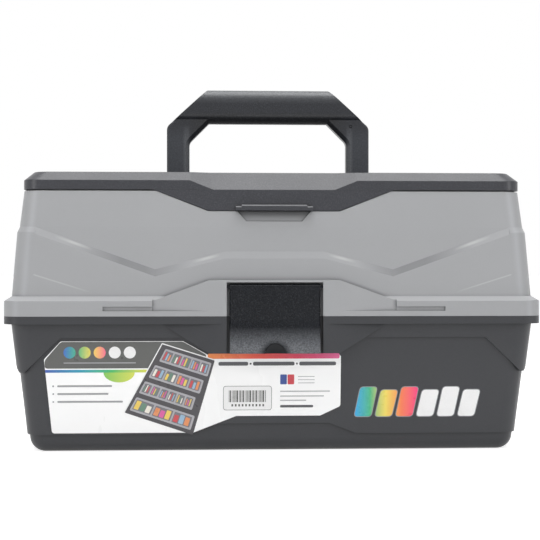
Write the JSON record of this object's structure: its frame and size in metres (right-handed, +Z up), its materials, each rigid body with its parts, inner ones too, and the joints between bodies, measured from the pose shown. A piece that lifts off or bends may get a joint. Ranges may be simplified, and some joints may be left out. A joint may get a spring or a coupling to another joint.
{
  "type": "cantilever tray case",
  "caption": "Portable plastic organizer case with linked rising trays, a quick-access bin in the lid, a folding carry handle and a front latch.",
  "frame": {"origin": "middle of the bottom face of the base", "axes": "+X along the case to its right end, -Y out of the front with the latch, +Z up"},
  "size_m": [0.452, 0.2485, 0.318],
  "materials": {
    "base_plastic": "fine textured",
    "lid_plastic": "satin",
    "cap_plastic": "satin",
    "handle_plastic": "fine textured",
    "latch_plastic": "semi-gloss, fine textured",
    "tray_plastic": "satin",
    "divider_plastic": "satin",
    "label_film": "printed film",
    "steel": "zinc plated"
  },
  "bodies": {
    "base": {"base_shell": "base_plastic", "front_label": "label_film", "lid_hinge_pin_left": "steel", "lid_hinge_pin_right": "steel"},
    "lid": {"lid_shell": "lid_plastic", "lid_top_deck": "cap_plastic", "latch_hinge_pin": "steel", "cover_hinge_pin_left": "steel", "cover_hinge_pin_right": "steel"},
    "cover": {"quick_access_cover": "cap_plastic"},
    "handle": {"carry_handle": "handle_plastic"},
    "latch": {"front_latch": "latch_plastic"},
    "front_arms": {"front_arm_left": "steel", "front_arm_right": "steel"},
    "rear_arms": {"rear_arm_left": "steel", "rear_arm_right": "steel"},
    "tray_lower": {"tray_lower": "tray_plastic", "dividers_lower": "divider_plastic"},
    "tray_middle": {"tray_middle": "tray_plastic", "dividers_middle": "divider_plastic"},
    "tray_upper": {"tray_upper": "tray_plastic", "dividers_upper": "divider_plastic"}
  },
  "joints": [
    {"name": "lid_hinge", "type": "hinge", "parent": "base", "child": "lid", "pos_m": [0, 0.1226, 0.115], "axis": [-1, 0, 0], "range_deg": [0, 100]},
    {"name": "cover_hinge", "type": "hinge", "parent": "lid", "child": "cover", "pos_m": [0, -0.02, 0.2326], "axis": [-1, 0, 0], "range_deg": [0, 85]},
    {"name": "handle_hinge", "type": "hinge", "parent": "lid", "child": "handle", "pos_m": [0, -0.001, 0.226], "axis": [-1, 0, 0], "range_deg": [0, 90]},
    {"name": "latch_hinge", "type": "hinge", "parent": "lid", "child": "latch", "pos_m": [0, -0.1151, 0.1394], "axis": [-1, 0, 0], "range_deg": [0, 110]},
    {"name": "front_arm_pivot", "type": "hinge", "parent": "base", "child": "front_arms", "pos_m": [0, 0.01001, 0.09302], "axis": [-1, 0, 0], "range_deg": [0, 100]},
    {"name": "rear_arm_pivot", "type": "hinge", "parent": "base", "child": "rear_arms", "pos_m": [0, 0.05401, 0.09302], "axis": [-1, 0, 0], "range_deg": [0, 100]},
    {"name": "tray_lower_pivot", "type": "hinge", "parent": "front_arms", "child": "tray_lower", "pos_m": [0, -0.02386, 0.11869], "axis": [-1, 0, 0], "range_deg": [-100, 0]},
    {"name": "tray_middle_pivot", "type": "hinge", "parent": "front_arms", "child": "tray_middle", "pos_m": [0, -0.05773, 0.14436], "axis": [-1, 0, 0], "range_deg": [-100, 0]},
    {"name": "tray_upper_pivot", "type": "hinge", "parent": "front_arms", "child": "tray_upper", "pos_m": [0, -0.0916, 0.17003], "axis": [-1, 0, 0], "range_deg": [-100, 0]}
  ],
  "couplings": [
    {"joint": "front_arm_pivot", "follows": "lid_hinge", "ratio": 1},
    {"joint": "rear_arm_pivot", "follows": "lid_hinge", "ratio": 1},
    {"joint": "tray_lower_pivot", "follows": "lid_hinge", "ratio": -1},
    {"joint": "tray_middle_pivot", "follows": "lid_hinge", "ratio": -1},
    {"joint": "tray_upper_pivot", "follows": "lid_hinge", "ratio": -1}
  ]
}
